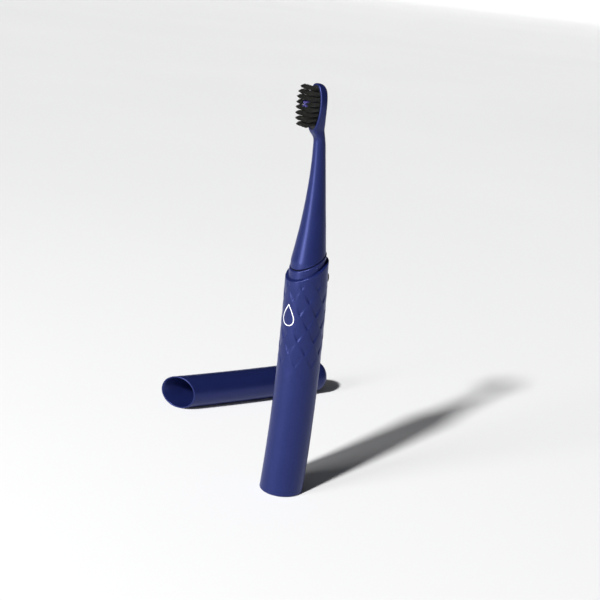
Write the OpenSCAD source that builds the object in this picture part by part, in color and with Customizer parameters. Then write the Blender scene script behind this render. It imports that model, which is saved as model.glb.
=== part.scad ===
// Slim battery toothbrush with a pull-off head and a travel cap.
// The brush stands on its base at the origin, bristles towards -X.
// The cap lies on its side beside it, its open mouth towards -X.

/* [Handle] */
// Radius of the handle where it stands
base_r = 10.8; // [10.2:0.1:11.5]
// Radius of the handle at its upper rim
rim_r = 10.1; // [9.6:0.1:10.4]
// Height of the middle of the slanted rim
rim_z = 114; // [112:1:118]
// Slope of the rim and of every ring above it, in degrees
slant = 30; // [25:1:32]
// Radius of the gentle forward curve of the whole brush
bend_r = 965; // [900:5:2000]
// Height at which the curved centre line is back over the base
bend_z = 120; // [116:1:122]
// Radius of the straight bore that takes the inner frame
bore_r = 7.6; // [7.5:0.05:7.7]
// Thickness of the handle's floor
floor_t = 2.4; // [2:0.1:3]

/* [Collar] */
// Radius of the collar that the travel cap pushes over
collar_r = 8.5; // [8.4:0.05:8.6]
// Height of the collar's visible band
collar_h = 3.9; // [3.6:0.1:4.5]
// Height of the dark gap between the collar and the neck
gap_h = 0.5; // [0.4:0.1:0.8]

/* [Button] */
// Width of the button round the handle
button_w = 9; // [8:0.5:10]
// Height of the button
button_h = 4.6; // [4:0.1:5]
// Height of the button's centre above the base
button_z = 109.5; // [108:0.5:110]
// How far the button stands out of the handle
button_out = 0.9; // [0.5:0.1:1.2]

/* [Head] */
// Height of the top of the brush head
head_top = 201.5; // [200:0.5:203]
// Length of the racket-shaped head
head_len = 22; // [21.5:0.5:24]
// Width of the head
head_w = 11.2; // [10:0.2:12]
// Thickness of the head
head_t = 4; // [3.6:0.2:4.6]
// Wall of the rim round the tuft plate
rim_wall = 0.9; // [0.8:0.05:1.1]
// Length of the bristles above the tuft plate
bristle_l = 7.5; // [6:0.5:9]
// Radius of one tuft
tuft_r = 0.78; // [0.6:0.02:0.8]

/* [Battery] */
// Radius of the battery cell, a standard slim size
cell_r = 5.25; // [5.25:0.05:5.25]
// Length of the battery cell over its nub
cell_l = 44.5; // [44.5:0.5:44.5]

/* [Travel cap] */
// Outer radius of the cap
cap_r = 9.2; // [9.2:0.05:9.6]
// Length of the cap from the middle of its mouth
cap_len = 100; // [94:1:102]
// Wall of the cap
cap_wall = 0.65; // [0.6:0.05:0.8]
// Where the middle of the cap's mouth lies beside the brush
cap_x = 3; // [-6:1:6]
// Distance from the brush's centre to the cap's centre line
cap_y = 113; // [100:1:130]

/* [Hidden] */
$fn = 64;

rise = tan(slant);
big = 60;
sides = 48;
core_x = 0.9;         // centre of the straight bore and of all that slides in it
ring_x = 0.3;         // centre of the collar's band
stem_x = 0.2;         // centre of the drive stem
neck_foot = 117.5;    // height at which the neck has its full radius
neck_r0 = 8.45;
neck_r1 = 2.72;
neck_l = 64.5;
neck_top = 175;
stem_top = 142;
stem_r = 4;
stem_bore = 3.45;
play = 0.1;
pad_r = 8.2;          // foot pad, set flush in the handle's underside
pad_t = 0.8;
head_x = -4.5;        // middle of the head's thickness
head_face = head_x - head_t / 2;
head_mid = head_top - head_len / 2;
plate_face = head_face + 0.3;
plate_t = 1.3;
flare = 0.07;         // how much wider the racket is at its top
pad_inset = 2.4;      // border round the tongue pad
star_z = 191.8;
star_clear = 2.5;
star_r = 1.7;
tip_x = plate_face - bristle_l;
cell_z = 12;
board_x = 4.7;
board_t = 1;
blue = [0.17, 0.24, 0.51];
dark = [0.13, 0.14, 0.13];

// centre line of the curved brush
function axis_x(z) = z * (bend_z - z) / (2 * bend_r);
function handle_r(z) = base_r + (rim_r - base_r) * z / rim_z;
function neck_r(z) =
  neck_r1 + (neck_r0 - neck_r1) * pow(max(0, 1 - (z - neck_foot) / neck_l), 1.65);
function neck_x(z) = 0.65 + 0.3 * min(1, max(0, z - 118) / 17) - 2 * pow(max(0, z - 118) / 57, 3);

// skin through level rings, each given as [x, z, radius]
module ring_loft(rings, n = sides) {
  pts = [for (r = rings) for (i = [0:n - 1])
    [r[0] + r[2] * cos(360 * i / n), r[2] * sin(360 * i / n), r[1]]];
  last = len(rings) - 1;
  walls = [for (k = [0:last - 1]) for (i = [0:n - 1])
    [k * n + i, (k + 1) * n + i, (k + 1) * n + (i + 1) % n, k * n + (i + 1) % n]];
  floor_face = [[for (i = [0:n - 1]) i]];
  roof_face = [[for (i = [n - 1:-1:0]) last * n + i]];
  polyhedron(pts, concat(floor_face, walls, roof_face), convexity = 4);
}

// everything above the slanted plane that crosses the centre line at height z
module above(z) {
  translate([0, 0, z]) rotate([0, -slant, 0]) translate([-big, -big, 0]) cube([2 * big, 2 * big, 2 * big]);
}

module below(z) {
  translate([0, 0, z]) rotate([0, -slant, 0]) translate([-big, -big, -2 * big]) cube([2 * big, 2 * big, 2 * big]);
}

module rod(r, z0, z1, x = 0) {
  translate([x, 0, z0]) cylinder(r = r, h = z1 - z0);
}

module tube(r_out, r_in, z0, z1, x = 0) {
  difference() {
    rod(r_out, z0, z1, x);
    rod(r_in, z0 - 1, z1 + 1, x);
  }
}

// upright box by its low corner and high corner
module block(low, high) {
  translate(low) cube(high - low);
}

// pill-shaped bar along X, wide in Y and low in Z
module pill(w, h, x0, x1, z) {
  for (side = [-1, 1])
    translate([x0, side * (w - h) / 2, z]) rotate([0, 90, 0]) cylinder(d = h, h = x1 - x0);
  block([x0, -(w - h) / 2, z - h / 2], [x1, (w - h) / 2, z + h / 2]);
}

// ---- handle ----

module handle_sleeve() {
  edge = 0.8;
  low = [for (a = [0:30:90]) [axis_x(0), edge * (1 - cos(a)), base_r - edge * (1 - sin(a))]];
  high = [for (z = [8:8:128]) [axis_x(z), z, handle_r(z)]];
  color(blue) difference() {
    ring_loft(concat(low, high));
    above(rim_z);
    rod(bore_r, floor_t, rim_z + big, core_x);
    translate([0, 0, -1]) cylinder(r = pad_r, h = 1 + pad_t);
    pill(button_w + 1, button_h + 1, 2, 20, button_z);
  }
}

module foot_pad() {
  color(dark) rod(pad_r, 0, pad_t);
}

module button_seal() {
  color(dark) difference() {
    intersection() {
      pill(button_w + 1, button_h + 1, 2, 20, button_z);
      rod(handle_r(button_z) + 0.05, button_z - 5, button_z + 5, axis_x(button_z));
    }
    rod(bore_r + 0.5, button_z - 6, button_z + 6, core_x);
    pill(button_w + 2 * play, button_h + 2 * play, 1, 21, button_z);
  }
}

module button_cap() {
  color(dark) {
    difference() {
      intersection() {
        pill(button_w, button_h, 2, 20, button_z);
        rod(handle_r(button_z) + button_out, button_z - 5, button_z + 5, axis_x(button_z));
      }
      rod(bore_r + 0.75, button_z - 6, button_z + 6, core_x);
    }
    translate([core_x + bore_r + 0.05, 0, button_z]) rotate([0, 90, 0]) cylinder(r = 1.2, h = 1);
  }
}

// ---- collar and inner frame ----

module collar() {
  spigot_z = 98;
  pip_r = 0.7;
  color(blue) difference() {
    union() {
      intersection() {
        rod(collar_r, rim_z - 10, rim_z + 14, ring_x);
        above(rim_z);
      }
      rod(bore_r - 0.05, spigot_z, rim_z + 1, core_x);
      for (a = [0:90:270])
        translate([ring_x + (collar_r - 0.4) * cos(a), (collar_r - 0.4) * sin(a),
          rim_z + collar_h / 2 + rise * (collar_r - 0.4) * cos(a)]) sphere(r = pip_r);
    }
    above(rim_z + collar_h);
    difference() {
      rod(6.2, spigot_z - 1, rim_z + 14, core_x);
      above(rim_z + collar_h - 1.6);
    }
    rod(stem_r + 0.02, rim_z - 10, rim_z + 20, stem_x);
    block([5, -2.6, button_z - 3], [12, 2.6, button_z + 3]);
    screw_shanks(100);
    difference() {
      rod(bore_r, 100.4, 101.8, core_x);
      rod(bore_r - 0.75, 100, 102, core_x);
    }
  }
}

module collar_seal() {
  color(dark) tube(bore_r - 0.02, bore_r - 0.75, 100.4, 101.8, core_x);
}

module inner_frame() {
  color("gainsboro") difference() {
    rod(7.4, 3.2, 98, core_x);
    rod(cell_r + 0.1, 4.4, cell_z + cell_l + 2.2, core_x);
    block([-9, -cell_r - 0.1, 4.4], [core_x, cell_r + 0.1, cell_z + cell_l + 2.2]);
    block([-9, -6, 62], [board_x - 1, 6, 96]);
    block([board_x - 2, -3.7, 60.5], [board_x + board_t + 0.05, 3.7, 99]);
    block([core_x - 1.4, -8, 3], [core_x + 1.4, -6.8, 66]);
    block([core_x - 1.4, -7, 4.4], [core_x + 1.4, -5, 5.05]);
    block([core_x - 1.4, -7, 63.3], [core_x + 1.4, -5.9, 64.1]);
    block([board_x - 0.5, -1.1, 57], [board_x, 1.1, 61]);
    screw_shanks(99);
  }
}

// the two screws that hold the frame under the collar, up to height z1
module screw_shanks(z1) {
  for (side = [-1, 1])
    translate([core_x + 0.5, side * 6.85, 93]) cylinder(r = 0.5, h = z1 - 93);
}

module frame_screws() {
  color("silver") screw_shanks(100);
}

// ---- power ----

module battery_cell() {
  color("goldenrod") {
    rod(cell_r, cell_z, cell_z + cell_l - 1, core_x);
    rod(1.9, cell_z + cell_l - 1, cell_z + cell_l, core_x);
  }
}

// cone of round wire, widest at the bottom
module battery_spring() {
  turns = 4;
  wire_r = 0.3;
  steps = 14;
  n = 6;
  z0 = 5.2;
  z1 = cell_z - wire_r;
  count = turns * steps;
  pts = [for (k = [0:count]) for (i = [0:n - 1])
    let (
      a = 360 * k / steps,
      r = 3.8 - 1.8 * k / count + wire_r * cos(360 * i / n)
    )
    [core_x + r * cos(a), r * sin(a), z0 + wire_r + (z1 - z0 - wire_r) * k / count + wire_r * sin(360 * i / n)]];
  walls = [for (k = [0:count - 1]) for (i = [0:n - 1])
    [k * n + i, (k + 1) * n + i, (k + 1) * n + (i + 1) % n, k * n + (i + 1) % n]];
  ends = [[for (i = [0:n - 1]) i], [for (i = [n - 1:-1:0]) count * n + i]];
  color("silver") polyhedron(pts, concat(walls, ends), convexity = 10);
}

module contact_minus() {
  color("gold") {
    rod(4.9, 4.4, 5, core_x);
    block([core_x - 1.25, -7.3, 4.4], [core_x + 1.25, -4, 5]);
  }
}

module contact_plus() {
  z0 = cell_z + cell_l;
  color("gold") {
    rod(3, z0, z0 + 0.4, core_x);
    block([core_x, -1, z0], [board_x, 1, z0 + 0.4]);
    block([board_x - 0.4, -1, z0], [board_x, 1, z0 + 7]);
  }
}

module contact_strip() {
  color("gold") {
    block([core_x - 1.25, -7.3, 5], [core_x + 1.25, -7, 64]);
    block([core_x - 1.25, -7, 63.4], [core_x + 1.25, -2.9, 64]);
    block([core_x + 1.2, -3.5, 63.4], [board_x, -2.9, 64]);
  }
}

module circuit_board() {
  color("darkgreen") block([board_x, -3.6, 60.5], [board_x + board_t, 3.6, 113]);
}

module board_parts() {
  face = board_x;
  color("dimgray") {
    block([face - 1.2, -1.9, 74], [face, 1.9, 78.5]);
    block([face - 1, -2.9, 82], [face, -0.9, 84.5]);
    block([face - 1, 0.9, 82], [face, 2.9, 84.5]);
    translate([face - 2.2, 0, 66]) rotate([0, 90, 0]) cylinder(r = 2, h = 2.2);
  }
}

module tact_switch() {
  face = board_x + board_t;
  color("black") {
    block([face, -1.8, button_z - 1.75], [face + 1.5, 1.8, button_z + 1.75]);
    translate([face + 1.5, 0, button_z]) rotate([0, 90, 0]) cylinder(r = 0.8, h = 0.65);
  }
}

// ---- drive ----

module drive_stem() {
  foot_z = 112.5;
  color("lightsteelblue") difference() {
    union() {
      rod(stem_r, foot_z, stem_top - 1.5, stem_x);
      translate([stem_x, 0, stem_top - 1.5]) cylinder(r1 = stem_r, r2 = stem_r - 1, h = 1.5);
    }
    rod(stem_bore, foot_z - 1, stem_top - 1.2, stem_x);
  }
}

module stem_seal() {
  color(dark) translate([stem_x, 0, 123.2]) rotate_extrude() translate([stem_r + 0.4, 0]) circle(r = 0.4, $fn = 16);
}

module gap_seal() {
  color(dark) intersection() {
    difference() {
      rod(collar_r - 0.55, rim_z - 5, rim_z + 20, ring_x);
      rod(5.4, rim_z - 6, rim_z + 21, stem_x);
    }
    above(rim_z + collar_h);
    below(rim_z + collar_h + gap_h - 0.1);
  }
}

module motor_can() {
  color("silver") difference() {
    rod(3, 119.5, 131.5, stem_x);
    rod(2.7, 119, 131.1, stem_x);
    rod(0.56, 130, 133, stem_x);
  }
}

module motor_endcap() {
  color("white") difference() {
    union() {
      rod(3, 118.5, 119.5, stem_x);
      rod(2.7, 119.5, 120.3, stem_x);
    }
    rod(0.56, 119.6, 122, stem_x);
  }
}

module motor_magnet() {
  color("dimgray") tube(1.7, 0.6, 120.3, 127.3, stem_x);
}

module motor_cushion() {
  color(dark) tube(stem_bore, 3, 120.5, 130.5, stem_x);
}

// one round lead through hand-set points
module lead(points) {
  for (k = [0:len(points) - 2])
    hull() {
      translate(points[k]) sphere(r = 0.3, $fn = 16);
      translate(points[k + 1]) sphere(r = 0.3, $fn = 16);
    }
}

module motor_leads() {
  for (side = [-1, 1])
    color(side < 0 ? "firebrick" : "royalblue")
      lead([[4.35, side * 2, 110], [2.2, side * 1.8, 111.3], [0.6, side * 1.3, 118.15]]);
}

module motor_shaft() {
  color("silver") rod(0.5, 119.7, 138.6, stem_x);
}

module motor_coil() {
  color("peru") difference() {
    rod(2.4, 120.9, 129.5, stem_x);
    rod(2, 120, 128.3, stem_x);
    rod(0.5, 120, 131, stem_x);
  }
}

module eccentric_weight() {
  color("gray") difference() {
    rod(2.8, 133.2, 138.2, stem_x);
    block([stem_x + 0.9, -4, 133], [stem_x + 4, 4, 139]);
    rod(0.5, 133, 139, stem_x);
  }
}

// ---- brush head ----

// racket outline in the plane of Y and Z, pulled in by inset
module racket(inset) {
  half_w = head_w / 2 - inset;
  half_l = head_len / 2 - inset;
  polygon([for (a = [0:10:350])
    [-half_l * cos(a) - head_mid, half_w * sin(a) * (1 + flare * cos(a))]]);
}

// racket plate from x0 to x1
module racket_plate(inset, x0, x1) {
  translate([x0, 0, 0]) rotate([0, 90, 0]) linear_extrude(x1 - x0) racket(inset);
}

module head_neck() {
  rings = [for (z = [108, 112, 116, 120, 125, 130, 136, 142, 149, 156, 163, 169, neck_top])
    [neck_x(z), z, z < neck_foot ? neck_r0 : neck_r(z)]];
  color(blue) difference() {
    union() {
      ring_loft(rings);
      hull() {
        translate([neck_x(neck_top), 0, neck_top - 1.5]) cylinder(r = neck_r(neck_top) - 0.05, h = 0.5, $fn = 32);
        translate([head_face + 0.5, 0, 186]) rotate([0, 90, 0]) cylinder(r = 3.2, h = head_t - 1, $fn = 32);
      }
      hull() {
        racket_plate(0.7, head_face, head_face + 0.2);
        racket_plate(0, head_face + 0.8, head_face + 2.2);
        racket_plate(1.2, head_face + head_t - 0.2, head_face + head_t);
      }
    }
    below(rim_z + collar_h + gap_h);
    rod(4.9, rim_z - 10, 134, stem_x);
    rod(stem_r + play, 133, 143, stem_x);
    translate([ring_x, 0, rim_z - 10]) cylinder(r1 = 9.4, r2 = 5.2, h = 25);
    racket_plate(rim_wall, head_face - 1, plate_face + plate_t);
    racket_plate(pad_inset, head_face + head_t, head_face + head_t + 4);
  }
}

module socket_insert() {
  color("white") tube(4.9, stem_r + play, 125, 134, stem_x);
}

// how far out a tuft's centre may stand at height z, inside the rim
field_inset = rim_wall + tuft_r + 0.12;
function field_w(z) =
  let (c = (z - head_mid) / (head_len / 2 - field_inset))
  (head_w / 2 - field_inset) * sqrt(1 - c * c) * (1 + flare * c);

// tufts as [y, z, outer or not], in even rows that follow the rim
rows = 8;
row_pitch = 2.23;
row_z = 183.2;
tuft_pitch = 1.8;
tufts = [for (row = [0:rows - 1])
  let (
    z = row_z + row * row_pitch,
    w = field_w(z),
    n = max(3, floor(2 * w / tuft_pitch) + 1)
  )
  for (k = [0:n - 1])
    let (y = -w + 2 * w * k / (n - 1))
    if (norm([y, z - star_z]) > star_clear) [y, z, k == 0 || k == n - 1 || row == 0 || row == rows - 1]];

module tuft(t, x1) {
  translate([x1, t[0], t[1]]) rotate([0, 90, 0]) cylinder(r = tuft_r, h = plate_face + plate_t - x1, $fn = 16);
}

module tuft_plate() {
  color(dark) difference() {
    racket_plate(rim_wall, plate_face, plate_face + plate_t);
    for (t = tufts) tuft(t, plate_face - 1);
    translate([plate_face - 1, 0, star_z]) rotate([0, 90, 0]) cylinder(r = star_r, h = 4);
  }
}

module tufts_outer() {
  color(dark) for (t = tufts) if (t[2]) tuft(t, tip_x);
}

module tufts_inner() {
  color(dark) for (t = tufts) if (!t[2]) tuft(t, tip_x + 0.4);
}

module polish_star() {
  color([0.36, 0.36, 0.8]) {
    translate([plate_face, 0, star_z]) rotate([0, 90, 0]) cylinder(r = star_r - 0.05, h = plate_t);
    for (a = [45, 135])
      translate([plate_face, 0, star_z]) rotate([a, 0, 0])
        block([-bristle_l + 0.9, -star_r, -0.4], [0, star_r, 0.4]);
  }
}

module tongue_pad() {
  color(blue) {
    racket_plate(pad_inset, head_face + head_t, head_face + head_t + 0.4);
    for (z = [185:2:195])
      block([head_face + head_t + 0.4, -2.1, z - 0.4], [head_face + head_t + 0.7, 2.1, z + 0.4]);
  }
}

// ---- travel cap ----

// the cap upright on its mouth, curved like the brush, its long lip at -X
module cap_upright() {
  end_r = 6;
  inner_r = cap_r - cap_wall;
  function bow(s) = s * (cap_len - s) / (2 * bend_r);
  outer_end = [for (a = [15:15:90])
    [bow(cap_len - end_r + end_r * sin(a)), cap_len - end_r + end_r * sin(a), cap_r - end_r * (1 - cos(a))]];
  inner_end = [for (a = [15:15:90]) let (e = end_r - cap_wall)
    [bow(cap_len - end_r + e * sin(a)), cap_len - end_r + e * sin(a), inner_r - e * (1 - cos(a))]];
  stations = [for (k = [-1:7]) k * (cap_len - end_r) / 7];
  difference() {
    ring_loft(concat([for (s = stations) [bow(s), s, cap_r]], outer_end));
    ring_loft(concat([for (s = stations) [bow(s), s, inner_r]], inner_end));
    below(0);
  }
}

module travel_cap() {
  color(blue) translate([cap_x, cap_y, cap_r]) rotate([0, 90, 0]) rotate([0, 0, -90]) cap_upright();
}

handle_sleeve();
foot_pad();
button_seal();
button_cap();
collar();
collar_seal();
inner_frame();
frame_screws();
battery_cell();
battery_spring();
contact_minus();
contact_plus();
contact_strip();
circuit_board();
board_parts();
tact_switch();
drive_stem();
stem_seal();
gap_seal();
motor_can();
motor_endcap();
motor_magnet();
motor_cushion();
motor_leads();
motor_shaft();
motor_coil();
eccentric_weight();
head_neck();
socket_insert();
tuft_plate();
tufts_outer();
tufts_inner();
polish_star();
tongue_pad();
travel_cap();
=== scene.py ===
import math
import random
import bmesh
import bpy
from mathutils import Matrix, Vector


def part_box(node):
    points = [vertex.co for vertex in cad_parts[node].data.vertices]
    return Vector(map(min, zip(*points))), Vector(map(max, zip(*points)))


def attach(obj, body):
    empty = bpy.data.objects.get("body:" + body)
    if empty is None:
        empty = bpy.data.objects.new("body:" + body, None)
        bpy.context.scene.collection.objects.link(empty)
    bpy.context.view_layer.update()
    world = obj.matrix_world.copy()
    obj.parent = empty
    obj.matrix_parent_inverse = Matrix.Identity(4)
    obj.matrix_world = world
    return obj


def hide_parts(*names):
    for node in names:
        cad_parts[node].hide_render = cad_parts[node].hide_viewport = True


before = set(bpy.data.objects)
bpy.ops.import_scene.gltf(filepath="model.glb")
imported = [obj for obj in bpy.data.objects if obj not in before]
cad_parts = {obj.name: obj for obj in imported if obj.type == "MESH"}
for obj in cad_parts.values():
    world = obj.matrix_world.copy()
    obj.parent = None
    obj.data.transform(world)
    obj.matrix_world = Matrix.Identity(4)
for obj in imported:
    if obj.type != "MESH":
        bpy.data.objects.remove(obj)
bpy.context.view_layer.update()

# ---- Camera ----
# A portrait lens a little above the brush, rolled so that the upright brush leans to the right.
# The bristles point to the left and somewhat towards the lens.
bristle_turn = math.radians(54)  # from the brush's own X axis to the line of sight
ahead = Vector((math.cos(bristle_turn), math.sin(bristle_turn), 0))
aside = Vector((math.sin(bristle_turn), -math.cos(bristle_turn), 0))
stand_off = 0.593
eye_height = 0.2665
pan = math.radians(-0.13)
pitch = math.radians(15.86)
roll = math.radians(6.63)
level_look = ahead * math.cos(pan) + aside * math.sin(pan)
look = level_look * math.cos(pitch) - Vector((0, 0, math.sin(pitch)))
level_right = aside * math.cos(pan) - ahead * math.sin(pan)
level_up = level_right.cross(look)
right = level_right * math.cos(roll) + level_up * math.sin(roll)
up = level_up * math.cos(roll) - level_right * math.sin(roll)
camera = bpy.data.objects.new("camera", bpy.data.cameras.new("camera"))
camera.data.lens = 77.4
camera.data.clip_start = 0.01
turned = Matrix((right, up, -look)).transposed().to_4x4()
camera.matrix_world = Matrix.Translation(Vector((0, 0, eye_height)) - ahead * stand_off) @ turned
bpy.context.scene.collection.objects.link(camera)
bpy.context.scene.camera = camera
bpy.context.scene.view_settings.view_transform = "Standard"


# ---- Floor and lights ----
# A pale matt studio sweep. One distant lamp, high in front on the left, throws the long shadow. A
# tall softbox beside it gives the sheen, and the surround is dim and darkest behind on the right.
def add(tree, kind, sockets=None, **settings):
    """A node in a shader tree. Sockets maps an input to a value or to another node's output."""
    made = tree.nodes.new("ShaderNode" + kind)
    for key, value in settings.items():
        setattr(made, key, value)
    for key, value in (sockets or {}).items():
        if isinstance(value, bpy.types.NodeSocket):
            tree.links.new(value, made.inputs[key])
        else:
            made.inputs[key].default_value = value
    return made


def mix_colours(tree, share, first, second):
    """The colour that goes from the first to the second with a share. 6, 7 and 2 are the colour sockets."""
    made = add(tree, "Mix", {"Factor": share, 6: first, 7: second}, data_type="RGBA")
    return made.outputs[2]


def new_material(name):
    """A material, its shader tree and the Principled shader in it."""
    made = bpy.data.materials.new(name)
    made.use_nodes = True
    return made, made.node_tree, made.node_tree.nodes["Principled BSDF"]


paper, tree, shader = new_material("studio_floor")
fibre = add(tree, "TexNoise", {"Scale": 30.0, "Detail": 3.0})
tone = mix_colours(tree, fibre.outputs["Fac"], (0.80, 0.80, 0.80, 1), (0.84, 0.84, 0.84, 1))
tree.links.new(tone, shader.inputs["Base Color"])
shader.inputs["Roughness"].default_value = 0.9
shader.inputs["Specular IOR Level"].default_value = 0.15
sweep_front = -3.0
sweep_bend = 5.5
sweep_r = 0.9
sweep_half = 5
sweep = [(sweep_front, 0.0), (sweep_bend, 0.0)]
for k in range(1, 25):
    a = math.radians(3 * k)
    sweep.append((sweep_bend + sweep_r * math.sin(a), sweep_r * (1 - math.cos(a))))
floor_points = []
for away, z in sweep:
    for side in (-sweep_half, sweep_half):
        floor_points.append(ahead * away + aside * side + Vector((0, 0, z)))
floor_faces = [(2 * k, 2 * k + 1, 2 * k + 3, 2 * k + 2) for k in range(len(sweep) - 1)]
floor_mesh = bpy.data.meshes.new("floor")
floor_mesh.from_pydata(floor_points, [], floor_faces)
floor_mesh.materials.append(paper)
floor_mesh.shade_smooth()
floor = bpy.data.objects.new("floor", floor_mesh)
bpy.context.scene.collection.objects.link(floor)

to_key = -aside * 0.565 - ahead * 0.827 + Vector((0, 0, 0.775))
sun = bpy.data.lights.new("key", "SUN")
sun.energy = 4.8
sun.angle = math.radians(5)
key = bpy.data.objects.new("key", sun)
key.rotation_euler = to_key.to_track_quat("Z", "Y").to_euler()
bpy.context.scene.collection.objects.link(key)

to_strip = -aside * 0.77 - ahead * 0.64 + Vector((0, 0, 0.06))
strip_away = 0.9
neck_middle = Vector((0, 0, 0.16))
softbox = bpy.data.lights.new("strip", "AREA")
softbox.shape = "RECTANGLE"
softbox.size = 0.26
softbox.size_y = 0.7
softbox.energy = 6.5
strip = bpy.data.objects.new("strip", softbox)
strip.location = neck_middle + to_strip.normalized() * strip_away
strip.rotation_euler = to_strip.to_track_quat("Z", "Y").to_euler()
bpy.context.scene.collection.objects.link(strip)

world = bpy.data.worlds.new("studio")
bpy.context.scene.world = world
world.use_nodes = True
sky = world.node_tree
direction = add(sky, "TexCoord").outputs["Generated"]
towards = add(sky, "VectorMath", {0: direction, 1: -aside * 0.8 - ahead * 0.6}, operation="DOT_PRODUCT")
shade = add(sky, "MapRange", {"Value": towards.outputs["Value"], "From Min": -1.0, "From Max": 1.0,
                              "To Min": 0.02, "To Max": 0.12})
sky.links.new(shade.outputs["Result"], sky.nodes["Background"].inputs["Strength"])
sky.nodes["Background"].inputs["Color"].default_value = (0.93, 0.95, 1, 1)


# ---- Handle sleeve ----
# One moulded shell of satin pearl-blue plastic, open at its slanted upper rim, with a straight
# bore for the inner frame. Its outside bows slightly backwards, and the mould leaves rows of
# shallow scoops in the grip, which read as soft diamond facets.
MM = 0.001
RISE = math.tan(math.radians(30))  # slope of the rim and of every ring above it
BEND = 965       # radius of the bow
BEND_END = 120   # height at which the bow comes back to the foot's centre line
tip_r = 0.05     # a turned or round end closes on a disc this small


def span(node):
    """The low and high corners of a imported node, in millimetres."""
    low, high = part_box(node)
    return Vector(low) / MM, Vector(high) / MM


def ease(start, end, value):
    """A smooth step from 0 at start to 1 at end."""
    share = min(1, max(0, (value - start) / (end - start)))
    return share * share * (3 - 2 * share)


def link_piece(name, points, faces, body, crease=38):
    """A smooth-shaded piece from points in millimetres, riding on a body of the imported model.
    Edges sharper than the crease, in degrees, stay crisp."""
    mesh = bpy.data.meshes.new(name)
    mesh.from_pydata([Vector(p) * MM for p in points], [], faces)
    work = bmesh.new()
    work.from_mesh(mesh)
    bmesh.ops.recalc_face_normals(work, faces=work.faces)
    work.to_mesh(mesh)
    work.free()
    mesh.shade_smooth()
    mesh.set_sharp_from_angle(angle=math.radians(crease))
    piece = bpy.data.objects.new(name, mesh)
    bpy.context.scene.collection.objects.link(piece)
    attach(piece, body)
    return piece


def skin(rings, closed=False):
    """Points and faces of a skin over rings of equal count. Open ends are closed flat."""
    count = len(rings[0])
    points = [point for ring in rings for point in ring]
    faces = []
    for k in range(len(rings) if closed else len(rings) - 1):
        here, there = k * count, (k + 1) % len(rings) * count
        for i in range(count):
            j = (i + 1) % count
            faces.append((here + i, here + j, there + j, there + i))
    if not closed:
        faces.append(tuple(range(count)))
        faces.append(tuple(len(points) - 1 - i for i in range(count)))
    return points, faces


def ring(centre, radius, level, rise=0.0, count=96):
    """A round ring. With a rise it lies in the slanted plane that crosses the axis at level."""
    points = []
    for i in range(count):
        angle = math.tau * i / count
        x = centre + radius * math.cos(angle)
        points.append((x, radius * math.sin(angle), level + rise * x))
    return points


def quarter_round(edge, steps):
    """Inset and drop of each point on a quarter-round edge, from the side wall to the end face."""
    turned = [math.pi / 2 * k / steps for k in range(steps + 1)]
    return [(edge * (1 - math.cos(a)), edge * (1 - math.sin(a))) for a in turned]


def cut(piece, cutter):
    """Takes the cutter out of a piece and removes the cutter."""
    step = piece.modifiers.new("cut", "BOOLEAN")
    step.operation = "DIFFERENCE"
    step.object = cutter
    whole = piece.evaluated_get(bpy.context.evaluated_depsgraph_get())
    piece.data = bpy.data.meshes.new_from_object(whole)
    piece.modifiers.clear()
    bpy.data.objects.remove(cutter)
    piece.data.shade_smooth()
    piece.data.set_sharp_from_angle(angle=math.radians(38))


def shader_group(name, inputs, outputs):
    """An empty shader group with its input and output sockets."""
    group = bpy.data.node_groups.new(name, "ShaderNodeTree")
    for label, value in inputs.items():
        kind = "NodeSocketColor" if isinstance(value, tuple) else "NodeSocketFloat"
        socket = group.interface.new_socket(name=label, in_out="INPUT", socket_type=kind)
        socket.default_value = value
    for label, kind in outputs.items():
        group.interface.new_socket(name=label, in_out="OUTPUT", socket_type="NodeSocket" + kind)
    taken = group.nodes.new("NodeGroupInput")
    given = group.nodes.new("NodeGroupOutput")
    return group, taken.outputs, given.inputs


# Pigment with flakes: a deep colour with fine brighter flakes and slow clouds in it.
pigment_inputs = {"Deep": (0, 0, 0, 1), "Bright": (1, 1, 1, 1), "Flake Scale": 7000.0, "Flakes": 0.3,
                  "Clouds": 0.3}
pigment, taken, given = shader_group("pigment", pigment_inputs, {"Colour": "Color"})
place = add(pigment, "TexCoord").outputs["Object"]
cells = add(pigment, "TexVoronoi", {"Vector": place, "Scale": taken["Flake Scale"]})
flake = add(pigment, "SeparateColor", {"Color": cells.outputs["Color"]})
flakes = add(pigment, "Math", {0: flake.outputs["Red"], 1: taken["Flakes"]}, operation="MULTIPLY")
cloud = add(pigment, "TexNoise", {"Vector": place, "Scale": 90.0, "Detail": 3.0})
clouds = add(pigment, "Math", {0: cloud.outputs["Fac"], 1: taken["Clouds"]}, operation="MULTIPLY")
share = add(pigment, "Math", {0: flakes.outputs[0], 1: clouds.outputs[0]}, operation="ADD", use_clamp=True)
mixed = mix_colours(pigment, share.outputs[0], taken["Deep"], taken["Bright"])
pigment.links.new(mixed, given["Colour"])

# Surface: fine moulded grain as a height, and faint lengthwise rub marks as a roughness.
surface_inputs = {"Grain Scale": 4000.0, "Roughness": 0.4, "Rub": 0.1}
surface, taken, given = shader_group("surface", surface_inputs, {"Height": "Float", "Roughness": "Float"})
place = add(surface, "TexCoord").outputs["Object"]
grain = add(surface, "TexNoise", {"Vector": place, "Scale": taken["Grain Scale"], "Detail": 2.0})
long_way = add(surface, "Mapping", {"Vector": place, "Scale": (1.0, 1.0, 0.06)})
marks = add(surface, "TexNoise", {"Vector": long_way.outputs[0], "Scale": 1500.0, "Detail": 4.0,
                                  "Roughness": 0.7})
centred = add(surface, "Math", {0: marks.outputs["Fac"], 1: 0.5}, operation="SUBTRACT")
rubbed = add(surface, "Math", {0: centred.outputs[0], 1: taken["Rub"]}, operation="MULTIPLY")
total = add(surface, "Math", {0: rubbed.outputs[0], 1: taken["Roughness"]}, operation="ADD")
surface.links.new(grain.outputs["Fac"], given["Height"])
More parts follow.
